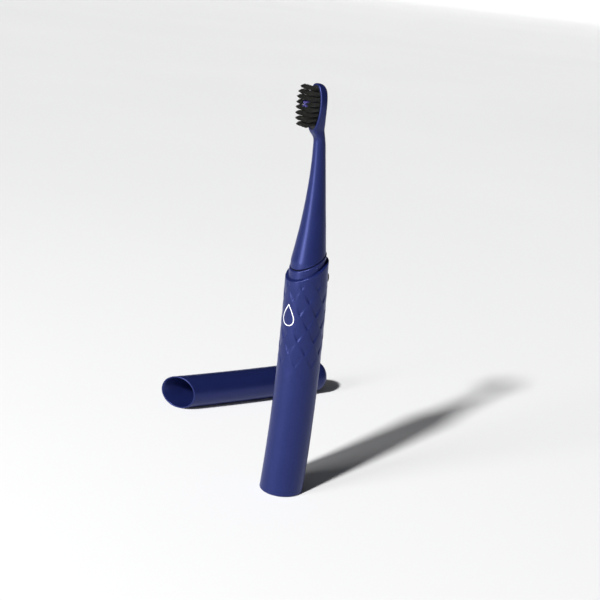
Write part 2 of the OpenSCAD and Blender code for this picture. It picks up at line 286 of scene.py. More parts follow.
surface.links.new(total.outputs[0], given["Roughness"])


def place_group(tree, group, sockets):
    """A shader group placed in a material with values of its own."""
    made = tree.nodes.new("ShaderNodeGroup")
    made.node_tree = group
    for label, value in sockets.items():
        made.inputs[label].default_value = value
    return made


def touch_up(tree, shader, roughness, rub, grain_scale, grain_depth):
    """Puts the surface group's grain and rub marks on a shader. The grain's depth is in millimetres."""
    touch = place_group(tree, surface, {"Grain Scale": grain_scale, "Roughness": roughness, "Rub": rub})
    grained = {"Height": touch.outputs["Height"], "Strength": 1.0, "Distance": grain_depth * MM}
    tree.links.new(touch.outputs["Roughness"], shader.inputs["Roughness"])
    tree.links.new(add(tree, "Bump", grained).outputs["Normal"], shader.inputs["Normal"])


def moulded(name, deep, bright, roughness, flakes=0.15, clouds=0.4, flake_scale=7000.0, rub=0.12,
            grain_scale=4000.0, grain_depth=0.004, **shader_values):
    """A procedural finish of pigment and surface. Further values go to the shader's own sockets."""
    made, tree, shader = new_material(name)
    colour = place_group(tree, pigment, {"Deep": (*deep, 1), "Bright": (*bright, 1), "Flakes": flakes,
                                         "Clouds": clouds, "Flake Scale": flake_scale})
    tree.links.new(colour.outputs["Colour"], shader.inputs["Base Color"])
    touch_up(tree, shader, roughness, rub, grain_scale, grain_depth)
    for label, value in shader_values.items():
        shader.inputs[label.replace("_", " ")].default_value = value
    return made


def dress(piece, material):
    """Gives a new piece its finish."""
    piece.data.materials.clear()
    piece.data.materials.append(material)


def redress(material, *nodes):
    """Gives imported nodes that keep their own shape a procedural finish."""
    for name in nodes:
        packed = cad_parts[name]
        packed.data.materials.clear()
        packed.data.materials.append(material)


pearl_blue = moulded("pearl_blue", (0.005, 0.0095, 0.058), (0.036, 0.050, 0.24), 0.34, flakes=0.22,
                     clouds=0.12, Metallic=0.35, Specular_IOR_Level=0.6, Specular_Tint=(0.55, 0.60, 1.0, 1))

base_r = -span("handle_sleeve")[0].y
rim_r = 10.1
rim_z = 114
bore_r = 7.6
bore_x = 0.9            # the bore stands a little behind the foot's centre
bore_floor = 2.4
bore_bevel = 0.15
pad_r = 8.2             # the recess for the foot pad
pad_t = 0.8
pad_bevel = 0.12
foot_edge = 0.8
rim_edge = 0.25
grip_low = 56           # the scoops and a slight swell grow from here
grip_full = 78
grip_fade = 104
scoop_end = 110
swell_end = 112
swell = 0.16
scoop_depth = 0.68
scoop_step = 0.84       # share of a scoop's side at which its crisp lower step begins
scoop_pitch = 12.9      # from one scoop to the next up a column
scoop_turn = math.radians(22.5)  # from one column to the next
scoop_start = 98.2      # height of a scoop's middle in the columns of even number
mark_turn = math.radians(190)
mark_z = 92
smooth_turn = math.radians(30)   # half-width and half-height of the smooth patch round the mark
smooth_h = 7.5


def axis_x(z):
    """Where the bent centre line of the brush stands at height z."""
    return z * (BEND_END - z) / (2 * BEND)


def sleeve_r(z):
    """Radius of the sleeve at height z: a plain taper with a slight swell in the grip."""
    swollen = ease(grip_low, grip_full, z) * (1 - ease(grip_fade, swell_end, z))
    return base_r + (rim_r - base_r) * z / rim_z + swell * swollen


def scoop(angle, z):
    """Depth of the scoops: nothing at a diamond's top, growing to a crisp step at its lower edges."""
    strength = ease(grip_low, grip_full, z) * (1 - ease(grip_fade, scoop_end, z))
    side_on = math.atan2(math.sin(angle - mark_turn), math.cos(angle - mark_turn)) / smooth_turn
    clear = ease(0.85, 1.25, math.hypot(side_on, (z - mark_z) / smooth_h))
    if strength * clear == 0:
        return 0
    depth = 0
    column = math.floor(angle / scoop_turn)
    for c in (column, column + 1):
        across = angle / scoop_turn - c
        up_share = (z - scoop_start) / scoop_pitch - 0.5 * (c % 2)
        along = 2 * (up_share - round(up_share))
        left = (1 - across - along) / 2
        right_side = (1 + across - along) / 2
        if 0 < left < 1 and 0 < right_side < 1:
            step = (1 - ease(scoop_step, 1.0, left)) * (1 - ease(scoop_step, 1.0, right_side))
            depth = max(depth, scoop_depth * (left * right_side) ** 1.1 * step)
    return depth * strength * clear


def sleeve_point(angle, z, proud=0.0):
    """A point on the scooped sleeve, or proud of it."""
    radius = sleeve_r(z) - scoop(angle, z) + proud
    return axis_x(z) + radius * math.cos(angle), radius * math.sin(angle), z


def rim_height(angle, inset, drop):
    """Height at which the sleeve's side, pulled in by inset, meets the slanted rim less a drop."""
    z = rim_z
    for _ in range(12):
        z = rim_z - drop + RISE * (axis_x(z) + (sleeve_r(z) - inset) * math.cos(angle))
    return z


round_count = 256
turns = [math.tau * i / round_count for i in range(round_count)]
rings = [ring(0, pad_r, pad_t, count=round_count), ring(0, pad_r, pad_bevel, count=round_count),
         ring(0, pad_r + pad_bevel, 0, count=round_count)]
for inset, lift in reversed(quarter_round(foot_edge, 6)):
    rings.append(ring(0, base_r - inset, lift, count=round_count))
level_end = 96   # the rows are level up to here, and tilt up to the rim above it
level_rows = 225
for k in range(1, level_rows + 1):
    z = foot_edge + (level_end - foot_edge) * k / level_rows
    rings.append([sleeve_point(a, z) for a in turns])
upper_rows = 52
tops = [rim_height(a, 0, rim_edge) for a in turns]
for k in range(1, upper_rows + 1):
    share = k / upper_rows
    rings.append([sleeve_point(a, level_end + (top - level_end) * share) for a, top in zip(turns, tops)])
for inset, drop in quarter_round(rim_edge, 4)[1:]:
    rings.append([sleeve_point(a, rim_height(a, inset, drop), -inset) for a in turns])
rings.append(ring(bore_x, bore_r + bore_bevel, rim_z, RISE, round_count))
rings.append(ring(bore_x, bore_r, rim_z - bore_bevel, RISE, round_count))
for z in (90, 60, 30, bore_floor):
    rings.append(ring(bore_x, bore_r, z, count=round_count))
handle = link_piece("handle_sleeve_shell", *skin(rings), "handle")

button_low, button_high = span("button_cap")
button_z = (button_low.z + button_high.z) / 2
button_w = button_high.y - button_low.y
button_h = button_high.z - button_low.z


def pill(width, height):
    """Outline in Y and Z of a bar with round ends, about the button's centre."""
    points = []
    for i in range(96):
        a = math.tau * i / 96
        shift = math.copysign((width - height) / 2, math.cos(a))
        points.append((shift + height / 2 * math.cos(a), button_z + height / 2 * math.sin(a)))
    return points


def around_button(wider):
    """The button's own outline, made wider and higher."""
    return pill(button_w + wider, button_h + wider)


window_ends = [[(x, y, z) for y, z in around_button(1)] for x in (4, 14)]
cut(handle, link_piece("window_cutter", *skin(window_ends), "handle"))
dress(handle, pearl_blue)
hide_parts("handle_sleeve")

# ---- Printed mark ----
# A plain water-drop outline, pad-printed in white ink on the front of the handle, where the
# mould leaves the surface smooth. Raised by the thickness of the ink.
mark_h = 10.4
mark_w = 7.6             # rough width, which the drop's curve narrows
line_w = 0.45
ink_proud = 0.025
ink_sunk = 0.03
ink = moulded("white_ink", (0.72, 0.73, 0.76), (0.86, 0.87, 0.9), 0.45, grain_scale=6000.0)


def drop_outline(t):
    """A drop with its tip at t = 0, in millimetres across and up."""
    across = mark_w * 0.62 * math.sin(t) * abs(math.sin(t / 2)) ** 1.3
    return Vector((across, mark_h / 2 * math.cos(t)))


outline = []
for k in range(160):
    t = math.tau * (k + 0.5) / 160
    along = (drop_outline(t + 0.01) - drop_outline(t - 0.01)).normalized()
    across = Vector((-along.y, along.x)) * line_w / 2
    flat = []
    for side, proud in ((-1, -ink_sunk), (-1, ink_proud), (1, ink_proud), (1, -ink_sunk)):
        at = drop_outline(t) + across * side
        z = mark_z + at.y
        flat.append(sleeve_point(mark_turn + at.x / sleeve_r(z), z, proud))
    outline.append(flat)
mark = link_piece("drop_mark", *skin(outline, closed=True), "handle", crease=60)
dress(mark, ink)

# ---- Foot pad ----
# A soft rubber disc set flush in the handle's underside, so that the brush stands without
# slipping. Three grooves are moulded in it for grip.
black_rubber = moulded("black_rubber", (0.012, 0.013, 0.012), (0.035, 0.037, 0.035), 0.62, flakes=0.1,
                       grain_scale=5200.0, grain_depth=0.01, rub=0.25)


def lathe(name, profile, body, centre=0.0):
    """A turned piece from a profile of radius and height."""
    return link_piece(name, *skin([ring(centre, r, z) for r, z in profile]), body)


disc_r = pad_r - 0.02
disc_edge = 0.15
groove_deep = 0.3
pad_profile = [(tip_r, pad_t), (disc_r, pad_t), (disc_r, disc_edge), (disc_r - disc_edge, 0)]
for groove in (6.6, 4.6, 2.6):
    pad_profile += [(groove + 0.35, 0), (groove + 0.2, groove_deep)]
    pad_profile += [(groove - 0.2, groove_deep), (groove - 0.35, 0)]
pad_profile.append((tip_r, 0))
foot = lathe("foot_pad_disc", pad_profile, "handle")
dress(foot, black_rubber)
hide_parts("foot_pad")


# ---- Button seal ----
# A thin rubber frame moulded into the window of the handle. Its lip follows the round of the
# sleeve and keeps water out round the button.
def on_sleeve(outline, proud):
    """Lifts an outline in Y and Z on to the sleeve's round side."""
    radius = sleeve_r(button_z) + proud
    return [(axis_x(button_z) + math.sqrt(radius * radius - y * y), y, z) for y, z in outline]


seal_section = [(0.2, -1.2), (0.2, -0.08), (0.4, 0.04), (0.8, 0.04), (0.96, -0.08), (0.96, -1.2)]
frame_rings = [on_sleeve(around_button(wider), proud) for wider, proud in seal_section]
seal = link_piece("button_seal_frame", *skin(frame_rings, closed=True), "handle")
dress(seal, black_rubber)
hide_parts("button_seal")

# ---- Button ----
# The on-off button at the back of the handle: a rubber pill with a rounded edge and a shallow
# thumb dish. It sits in the seal's frame and presses on the switch behind it.
button_out = 0.9
button_in = -1.05
button_edge = 0.45
dish_deep = 0.28
middle_w = 0.4
middle_h = 0.2
button_rings = [on_sleeve(pill(middle_w, middle_h), button_in), on_sleeve(around_button(0), button_in)]
for inset, drop in quarter_round(button_edge, 5):
    button_rings.append(on_sleeve(around_button(-2 * inset), button_out - drop))
dish_w = button_w - 2 * button_edge
dish_h = button_h - 2 * button_edge
for k in range(1, 9):
    share = k / 8
    dished = pill(dish_w - share * (dish_w - middle_w), dish_h - share * (dish_h - middle_h))
    button_rings.append(on_sleeve(dished, button_out - dish_deep * ease(0, 0.6, share)))
button = link_piece("power_button", *skin(button_rings), "button")
dress(button, black_rubber)
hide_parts("button_cap")

# ---- Collar ----
# The blue moulded ring that shows between handle and neck. Its spigot plugs into the handle's bore
# and carries an O-ring. Four small round pips on the band grip the travel cap.
collar_r = 8.5
collar_x = 0.3
collar_h = 3.9
collar_edge = 0.3
band_foot = rim_z + 0.02    # the band stands just clear of the handle's rim
band_bevel = 0.12
band_top = rim_z + collar_h
deck_t = 1.6                # the top of the collar, round the stem
spigot_r = bore_r - 0.05
spigot_z = 98
spigot_bevel = 0.2
groove_low = 100.4          # the O-ring's groove
groove_high = 101.8
groove_r = spigot_r - 0.7
core_bore = 6.2
stem_x = 0.2
stem_hole = 4.02
around = 160
spigot_profile = [(core_bore, spigot_z), (spigot_r - spigot_bevel, spigot_z),
                  (spigot_r, spigot_z + spigot_bevel), (spigot_r, groove_low), (groove_r, groove_low),
                  (groove_r, groove_high), (spigot_r, groove_high)]
collar_rings = [ring(bore_x, r, z, count=around) for r, z in spigot_profile]
collar_rings.append(ring(bore_x, spigot_r, band_foot, RISE, around))
collar_rings.append(ring(collar_x, collar_r - band_bevel, band_foot, RISE, around))
collar_rings.append(ring(collar_x, collar_r, band_foot + band_bevel, RISE, around))
band_h = band_top - collar_edge - band_foot - band_bevel
for k in range(1, 5):
    collar_rings.append(ring(collar_x, collar_r, band_foot + band_bevel + band_h * k / 4, RISE, around))
for inset, drop in quarter_round(collar_edge, 4)[1:]:
    collar_rings.append(ring(collar_x, collar_r - inset, band_top - drop, RISE, around))
collar_rings.append(ring(stem_x, stem_hole, band_top, RISE, around))
collar_rings.append(ring(stem_x, stem_hole, band_top - deck_t, RISE, around))
collar_rings.append(ring(bore_x, core_bore, band_top - deck_t, RISE, around))
collar = link_piece("collar_ring", *skin(collar_rings, closed=True), "core")
opening_half_w = 2.6
opening_half_h = 3
corners = [(x, y, z) for x in (5, 12) for y in (-opening_half_w, opening_half_w)
           for z in (button_z - opening_half_h, button_z + opening_half_h)]
block_faces = [(0, 1, 3, 2), (4, 6, 7, 5), (0, 4, 5, 1), (2, 3, 7, 6), (0, 2, 6, 4), (1, 5, 7, 3)]
cut(collar, link_piece("switch_opening", corners, block_faces, "core"))
dress(collar, pearl_blue)
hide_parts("collar")


def spokes(across, count, turn=0.0):
    """Directions round a section, which stands upright on the way across."""
    made = []
    for i in range(count):
        a = turn + math.tau * i / count
        made.append(across * math.cos(a) + Vector((0, 0, math.sin(a))))
    return made


pip_r = 0.62
pip_proud = 0.42
pip_points = []
pip_faces = []
for quarter in range(4):
    a = math.pi / 2 * quarter
    out = Vector((math.cos(a), math.sin(a), 0))
    flat = Vector((-math.sin(a), math.cos(a), 0))
    seat = Vector((collar_x, 0, 0)) + out * (collar_r - band_bevel)
    seat.z = rim_z + collar_h / 2 + RISE * seat.x
    domes = []
    for k in range(6):
        lift = math.pi / 2 * k / 6
        middle = seat + out * pip_proud * math.sin(lift)
        domes.append([middle + spoke * pip_r * math.cos(lift) for spoke in spokes(flat, 20)])
    points, faces = skin(domes)
    pip_faces += [tuple(len(pip_points) + i for i in face) for face in faces]
    pip_points += points
pips = link_piece("collar_pips", pip_points, pip_faces, "core", crease=60)
dress(pips, pearl_blue)

# ---- Seals of the core ----
# Nitrile rings: the O-ring in the spigot's groove, the one on the drive stem, and the flat
# washer that shows as the dark line under the neck. The washer's colour is partly its own black
# rubber and partly painted shade for that gap.
redress(black_rubber, "collar_seal", "stem_seal")
# Painted shade: the washer is coloured near black, far darker than the other rubber and with little gloss,
# so that the gap under the neck reads as a shaded line.
washer_and_painted_gap_shade = moulded("washer_and_painted_gap_shade", (0.001, 0.001, 0.003), (0.004, 0.004, 0.008), 0.8, rub=0.2,
                       grain_scale=5200.0, Specular_IOR_Level=0.1)
redress(washer_and_painted_gap_shade, "gap_seal")

# ---- Inner frame ----
# The cradle that slides out of the handle with the cell, board and contacts. It is one moulding of
# white glass-filled nylon, and hangs from the collar.
frame_white = moulded("frame_white", (0.52, 0.53, 0.53), (0.66, 0.67, 0.67), 0.5, flakes=0.06,
                      grain_scale=2600.0, grain_depth=0.012)
redress(frame_white, "inner_frame")

# ---- Frame screws ----
# Two small self-tapping steel screws, plated bright, that hold the cradle under the collar. They
# run upwards from the cradle into the spigot.
bright_steel = moulded("bright_steel", (0.42, 0.42, 0.43), (0.62, 0.62, 0.63), 0.26, flakes=0.2, rub=0.3,
                       grain_scale=9000.0, Metallic=1.0)
redress(bright_steel, "frame_screws")

# ---- Battery cell ----
# The slim alkaline cell that drives the motor: a steel can in a printed shrink sleeve, with a
# crimped shoulder and a raised nub. The spring below it holds it in the cradle.
cell_low, cell_high = span("battery_cell")
cell_r = (cell_high.y - cell_low.y) / 2
z0 = cell_low.z
z1 = cell_high.z
cell_foot = [(tip_r, z0 + 0.2), (3.5, z0 + 0.2), (3.75, z0), (cell_r - 0.45, z0), (cell_r - 0.1, z0 + 0.12)]
cell_wall = [(cell_r, z0 + 0.5), (cell_r, z0 + 22), (cell_r, z1 - 1.9)]
cell_shoulder = [(cell_r - 0.12, z1 - 1.55), (cell_r - 0.45, z1 - 1.4), (4.3, z1 - 1.45), (4.1, z1 - 1.7)]
cell_nub = [(2.4, z1 - 1.6), (2.0, z1 - 1.3), (1.9, z1 - 1.0), (1.9, z1 - 0.25), (1.65, z1), (tip_r, z1)]
cell_profile = cell_foot + cell_wall + cell_shoulder + cell_nub
cell = lathe("battery_cell_body", cell_profile, "core", centre=bore_x)
jacket, tree, shader = new_material("cell_jacket")
height = add(tree, "SeparateXYZ", {"Vector": add(tree, "TexCoord").outputs["Object"]})
up_cell = add(tree, "MapRange", {"Value": height.outputs["Z"], "From Min": z0 * MM, "From Max": z1 * MM})
bands = add(tree, "ValToRGB", {"Fac": up_cell.outputs["Result"]})
bands.color_ramp.interpolation = "CONSTANT"
bare_steel = (0.55, 0.55, 0.56, 1)
black_band = (0.012, 0.012, 0.014, 1)
gold_line = (0.75, 0.62, 0.36, 1)
copper_band = (0.42, 0.16, 0.05, 1)
bands.color_ramp.elements[0].color = bare_steel
bands.color_ramp.elements[1].position = 0.012
bands.color_ramp.elements[1].color = black_band
for position, colour in ((0.70, gold_line), (0.715, copper_band), (0.962, bare_steel)):
    bands.color_ramp.elements.new(position).color = colour
tree.links.new(bands.outputs["Color"], shader.inputs["Base Color"])
touch_up(tree, shader, roughness=0.28, rub=0.2, grain_scale=1800.0, grain_depth=0.01)
shader.inputs["Metallic"].default_value = 0.7
dress(cell, jacket)
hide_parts("battery_cell")

# ---- Battery spring ----
# A cone of round spring-steel wire between the cell and the lower contact. It takes up the
# difference between one cell and the next.
wire_r = 0.3
spring_low, spring_high = span("battery_spring")
spring_foot_r = 3.8
spring_top_r = 2.0
spring_turns = 4
spring_steps = spring_turns * 40
spring_rings = []
for k in range(spring_steps + 1):
    share = k / spring_steps
    a = math.tau * spring_turns * share
    out = Vector((math.cos(a), math.sin(a), 0))
    radius = spring_foot_r + (spring_top_r - spring_foot_r) * share
    rise_z = spring_low.z + wire_r + (spring_high.z - spring_low.z - 2 * wire_r) * share
    heart = Vector((bore_x, 0, rise_z)) + out * radius
    spring_rings.append([heart + spoke * wire_r for spoke in spokes(out, 12)])
spring = link_piece("battery_spring_wire", *skin(spring_rings), "core", crease=60)
dress(spring, bright_steel)
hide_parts("battery_spring")

# ---- Contacts ----
# Stamped brass strips, lightly tarnished, that carry the current from the cell to the board. They
# are pressed into the cradle.
brass = moulded("contact_brass", (0.48, 0.33, 0.12), (0.72, 0.55, 0.26), 0.3, flakes=0.12, clouds=0.6,
                rub=0.35, grain_scale=3000.0, Metallic=1.0)
redress(brass, "contact_minus", "contact_plus", "contact_strip")

# ---- Circuit board ----
# A narrow glass-fibre board that holds the switch and the motor's driver. Copper tracks show
# through its green solder resist.
resist, tree, shader = new_material("board_green")
place = add(tree, "TexCoord").outputs["Object"]
stretched = add(tree, "Mapping", {"Vector": place, "Scale": (1.0, 1.0, 0.22)})
tracks = add(tree, "TexVoronoi", {"Vector": stretched.outputs[0], "Scale": 900.0}, distance="CHEBYCHEV",
             feature="F1")
track = add(tree, "ValToRGB", {"Fac": tracks.outputs["Distance"]})
track.color_ramp.interpolation = "CONSTANT"
track.color_ramp.elements[0].color = (0.05, 0.20, 0.07, 1)
track.color_ramp.elements[1].position = 0.32
track.color_ramp.elements[1].color = (0.012, 0.075, 0.028, 1)
track_bump = add(tree, "Bump", {"Height": track.outputs["Color"], "Strength": 0.6, "Distance": 0.03 * MM})
tree.links.new(track.outputs["Color"], shader.inputs["Base Color"])
tree.links.new(track_bump.outputs["Normal"], shader.inputs["Normal"])
shader.inputs["Roughness"].default_value = 0.32
redress(resist, "circuit_board")

# ---- Board parts and switch ----
# The parts on the board and the tactile switch behind the button. They are cast in black epoxy
# and soldered down flat.
epoxy = moulded("chip_black", (0.014, 0.014, 0.015), (0.05, 0.05, 0.052), 0.48, flakes=0.3,
                flake_scale=9000.0, grain_scale=8000.0, grain_depth=0.008)
redress(epoxy, "board_parts", "tact_switch")

# ---- Drive stem ----
# The tube that holds the vibration motor, and that the brush head pushes over. It is drawn from
# stainless steel and stands in the collar.
drawn_steel = moulded("drawn_steel", (0.40, 0.41, 0.43), (0.55, 0.56, 0.58), 0.24, flakes=0.1, rub=0.4,
                      grain_scale=7000.0, Metallic=1.0)
redress(drawn_steel, "drive_stem")

# ---- Motor ----
# A coreless motor: drawn can, nylon end cap, magnet, rubber cushion, copper winding and its
# shaft with the sintered eccentric weight that makes the head shake.
redress(drawn_steel, "motor_can", "motor_shaft")
redress(frame_white, "motor_endcap")
redress(black_rubber, "motor_cushion")
ferrite = moulded("ferrite", (0.04, 0.04, 0.043), (0.11, 0.11, 0.115), 0.42, flakes=0.4, Metallic=0.5,
                  grain_scale=5000.0)
redress(ferrite, "motor_magnet")
winding = moulded("winding", (0.36, 0.12, 0.05), (0.62, 0.27, 0.12), 0.32, flakes=0.2, rub=0.4,
                  grain_scale=2500.0, grain_depth=0.03, Metallic=0.9)
redress(winding, "motor_coil")
sintered = moulded("sintered_weight", (0.17, 0.165, 0.16), (0.34, 0.33, 0.32), 0.46, flakes=0.5,
                   grain_scale=3800.0, grain_depth=0.02, Metallic=0.9)
redress(sintered, "eccentric_weight")

# ---- Motor leads ----
# Two thin leads from the board up to the motor, each a copper strand in red plastic. They run up
# inside the collar.
lead_sleeve = moulded("lead_sleeve", (0.30, 0.018, 0.015), (0.42, 0.04, 0.03), 0.38, grain_scale=3000.0)
redress(lead_sleeve, "motor_leads")

# ---- Brush head and neck ----
# One slim moulding in the same pearl blue: a hollow cone that pushes over the stem, thinning
# to a neck and opening into a racket-shaped head with a shallow pocket for the tuft plate.
plate_low, plate_high = span("tuft_plate")
head_top = span("head_neck")[1].z
head_half = 11
head_mid = head_top - head_half
racket_half = 5.6
racket_flare = 0.07
head_face = plate_low.x - 0.3
head_thick = 4.6
neck_foot = 117.5        # the neck thins from here over its length
neck_l = 64.5
neck_thick_r = 8.45
neck_thin_r = 2.72
lean_from = 118          # its centre line begins to curve here
neck_foot_z = rim_z + collar_h + 0.5
neck_edge = 0.3
end_round = 0.8
shoulder_h = 3.6         # rounding of the back at the head's top
shoulder_t = 2.7
rim_wall = 0.9


def neck_r(z):
    left = max(0, min(1, 1 - (z - neck_foot) / neck_l))
    return neck_thin_r + (neck_thick_r - neck_thin_r) * left ** 1.65


def neck_x(z):
    """Where the neck's centre line stands: a little back at first, then curving to the front."""
    climbed = max(0, z - lean_from)
    return 0.65 + 0.3 * min(1, climbed / 17) - 2 * (climbed / 57) ** 3


def racket_w(z, inset=0.0):
    """Half-width of the racket outline at height z, pulled in by inset."""
    c = (z - head_mid) / (head_half - inset)
    if abs(c) >= 1:
        return 0
    return (racket_half - inset) * math.sqrt(1 - c * c) * (1 + racket_flare * c)


def head_section(angle, z, inset=0.0):
    """A point of the skin at height z. The section goes from round in the neck to a flat racket."""
    to_front = ease(176, 180.8, z)
    to_back = ease(173, 192, z)
    front = (neck_x(z) - neck_r(z)) * (1 - to_front) + head_face * to_front
    back = (neck_x(z) + neck_r(z)) * (1 - to_back) + (head_face + head_thick) * to_back
    over = min(1, max(0, z - (head_top - shoulder_h)) / shoulder_h)
    back -= shoulder_t * (1 - math.sqrt(1 - over * over))
    half_w = (racket_w(z) ** 5 + (neck_r(z) * (1 - ease(181, 192, z))) ** 5) ** 0.2
    over = max(0, z - (head_top - end_round)) / end_round
    half_t = (back - front) / 2 - end_round * (1 - math.sqrt(max(0, 1 - over * over)))
    c, s = math.cos(angle), math.sin(angle)
    squareness = 2 + (6.5 if c < 0 else 1.2) * ease(175, 183, z)
    reach = (abs(c) ** squareness + abs(s) ** squareness) ** (-1 / squareness)
    return (front + back) / 2 + (half_t - inset) * reach * c, (half_w - inset) * reach * s, z


def foot_height(angle, inset, lift):
    """Height at which the neck's side meets its slanted foot, raised by a lift."""
    z = neck_foot_z
    for _ in range(12):
        z = neck_foot_z + lift + RISE * head_section(angle, z, inset)[0]
    return z


around = 176
turns = [math.tau * i / around for i in range(around)]
socket_r = 4.1
socket_top = 143
insert_r = 4.9           # the wider part of the socket, which holds the insert
insert_top = 134
cone_top = 129
mouth_fall = 0.168       # from there down the socket opens as a cone, by this for each millimetre
mouth_level = 9.4 - mouth_fall * (neck_foot_z + RISE * collar_x - 104)
mouth_ring = []
for a in turns:
    r = mouth_level / (1 + mouth_fall * RISE * math.cos(a))
    x = collar_x + r * math.cos(a)
    mouth_ring.append((x, r * math.sin(a), neck_foot_z + RISE * x))
socket_profile = [(socket_r, socket_top), (socket_r, insert_top), (insert_r, insert_top),
                  (insert_r + 0.05, cone_top + 0.2)]
head_rings = [ring(stem_x, r, z, count=around) for r, z in socket_profile]
head_rings += [ring(collar_x, insert_r + 0.3, cone_top, count=around), mouth_ring]
for inset, lift in reversed(quarter_round(neck_edge, 4)):
    head_rings.append([head_section(a, foot_height(a, inset, lift), inset) for a in turns])
feet = [foot_height(a, 0, neck_edge) for a in turns]
level_from = 128         # the rows tilt down to the foot below here, and are level above it
bend_from = 174          # closer rows from here, where the section changes
top_from = 189
for k in range(1, 25):
    share = k / 24
    head_rings.append([head_section(a, foot + (level_from - foot) * share) for a, foot in zip(turns, feet)])
heights = [level_from + (bend_from - level_from) * k / 60 for k in range(1, 61)]
heights += [bend_from + (top_from - bend_from) * k / 66 for k in range(1, 67)]
heights += [top_from + (head_top - top_from - 0.004) * math.sin(math.pi / 2 * k / 64) for k in range(1, 65)]
head_rings += [[head_section(a, z) for a in turns] for z in heights]
head = link_piece("brush_head_neck", *skin(head_rings), "head")


def racket_ring(x, inset):
    """The racket outline at depth x, pulled in by inset."""
    points = []
    for i in range(144):
        a = math.tau * i / 144
        z = head_mid + (head_half - inset) * math.cos(a)
        points.append((x, (racket_half - inset) * math.sin(a) * (1 + racket_flare * math.cos(a)), z))
    return points


pocket_bevel = 0.18
pocket_profile = [(head_face - 1, rim_wall - pocket_bevel), (head_face, rim_wall - pocket_bevel),
                  (head_face + pocket_bevel, rim_wall), (plate_high.x, rim_wall)]
pocket = [racket_ring(x, inset) for x, inset in pocket_profile]
cut(head, link_piece("pocket_cutter", *skin(pocket), "head"))
dress(head, pearl_blue)
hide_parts("head_neck")

# ---- Socket insert ----
# The bush inside the neck that grips the drive stem. It is a harder white plastic than the head,
# pressed in from below.
redress(frame_white, "socket_insert")

# ---- Tuft plate ----
# The black plastic plate that the tufts stand in. It is a racket outline of its own, sunk just
# below the head's rim and welded there.
plate_black = moulded("plate_black", (0.006, 0.006, 0.006), (0.02, 0.02, 0.02), 0.5, grain_scale=5000.0)
redress(plate_black, "tuft_plate")

# ---- Tufts ----
# Bundles of fine charcoal nylon filaments, set in the plate and trimmed to a point in each tuft,
# so that the rows make a saw-tooth profile. The outer tufts lean out a little.
tuft_r = 0.78
row_z = 183.2
row_pitch = 2.23
rows = 8
tuft_pitch = 1.8
tip_x = span("tufts_outer")[0].x
star_low, star_high = span("polish_star")
star_z = (star_low.z + star_high.z) / 2
star_clear = 2.5
field_inset = rim_wall + tuft_r + 0.12
filaments = 150
golden_turn = 2.39996    # the turn in radians that spreads spots evenly over a disc
random.seed(11)


def filament(root, lean, length, radius):
    """Rings of one tapered filament from its root, ending in a rounded point."""
    section = spokes(Vector((0, 1, 0)), 5, random.uniform(0, math.tau))
    made = []
    for share, size in ((0, 1.0), (0.5, 1.0), (0.9, 0.86), (0.985, 0.45)):
        bow = lean * share ** 1.2
        heart = root + Vector((-length * share, bow.x, bow.y))
        made.append([heart + spoke * radius * size for spoke in section])
    made.append([root + Vector((-length, lean.x, lean.y)) + (p - heart) * 0.08 for p in made[-1]])
    return made


def bristles(name, tufts, length):
    """One piece of all the filaments of a list of tufts."""
    points = []
    faces = []
    for y, z in tufts:
        tuft_lean = Vector((y * 0.08, (z - 190) * 0.10))
        tuft_lean += Vector((random.gauss(0, 0.05), random.gauss(0, 0.05)))
        tuft_length = length + random.uniform(-0.12, 0.12)
        for k in range(filaments):
            share = math.sqrt((k + 0.5) / filaments)
            angle = k * golden_turn + random.uniform(-0.25, 0.25)
            spot = Vector((math.cos(angle), math.sin(angle))) * share * (tuft_r - 0.06)
            root = Vector((plate_low.x + 0.4, y + spot.x, z + spot.y))
            splay = spot * 0.62 + Vector((random.gauss(0, 0.07), random.gauss(0, 0.07)))
            reach = tuft_length + 0.5 - 2.3 * share ** 1.5 + random.gauss(0, 0.10)
            radius = random.uniform(0.07, 0.092)
            strand, strand_faces = skin(filament(root, tuft_lean + splay, reach, radius))
            faces += [tuple(len(points) + i for i in face) for face in strand_faces]
            points += strand
    return link_piece(name, points, faces, "head", crease=75)


nylon = moulded("charcoal_nylon", (0.006, 0.007, 0.0055), (0.034, 0.036, 0.029), 0.36, flakes=0.5,
                clouds=0.5, flake_scale=2500.0, grain_scale=9000.0, Sheen_Weight=0.1, Sheen_Roughness=0.4)
edge_tufts = []
middle_tufts = []
for row in range(rows):
    z = row_z + row * row_pitch
    half = racket_w(z, field_inset)
    across = max(3, math.floor(2 * half / tuft_pitch) + 1)
    for k in range(across):
        y = -half + 2 * half * k / (across - 1)
        if math.hypot(y, z - star_z) > star_clear:
            on_edge = k in (0, across - 1) or row in (0, rows - 1)
            (edge_tufts if on_edge else middle_tufts).append((y, z))
bristle_l = plate_low.x - tip_x
for name, tufts, length, node in (("bristles_outer", edge_tufts, bristle_l, "tufts_outer"),
                                  ("bristles_inner", middle_tufts, bristle_l - 0.3, "tufts_inner")):
    bunch = bristles(name, tufts, length)
    dress(bunch, nylon)
    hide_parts(node)

# ---- Polishing star ----
# A cross of soft violet elastomer that stands in the middle of the bristles to polish the teeth.
# It is moulded in one with its foot, which the plate holds.
violet = moulded("violet_elastomer", (0.028, 0.025, 0.13), (0.055, 0.05, 0.21), 0.42, flakes=0.1,
                 grain_scale=4000.0, Subsurface_Weight=0.1, Subsurface_Scale=0.0005)
arm_l = (star_high.y - star_low.y) / 2 * 1.03
arm_t = 0.36


def star_ring(x, shrink):
    """The cross outline at depth x, its arms at 45 degrees and shrunk all round."""
    points = []
    for i in range(160):
        a = math.tau * i / 160
        reach = 0
        for lie in (math.pi / 4, -math.pi / 4):
            c, s = abs(math.cos(a - lie)), abs(math.sin(a - lie))
            reach = max(reach, min((arm_l - shrink) / max(c, 0.001), (arm_t - shrink) / max(s, 0.001)))
        points.append((x, reach * math.cos(a), star_z + reach * math.sin(a)))
    return points


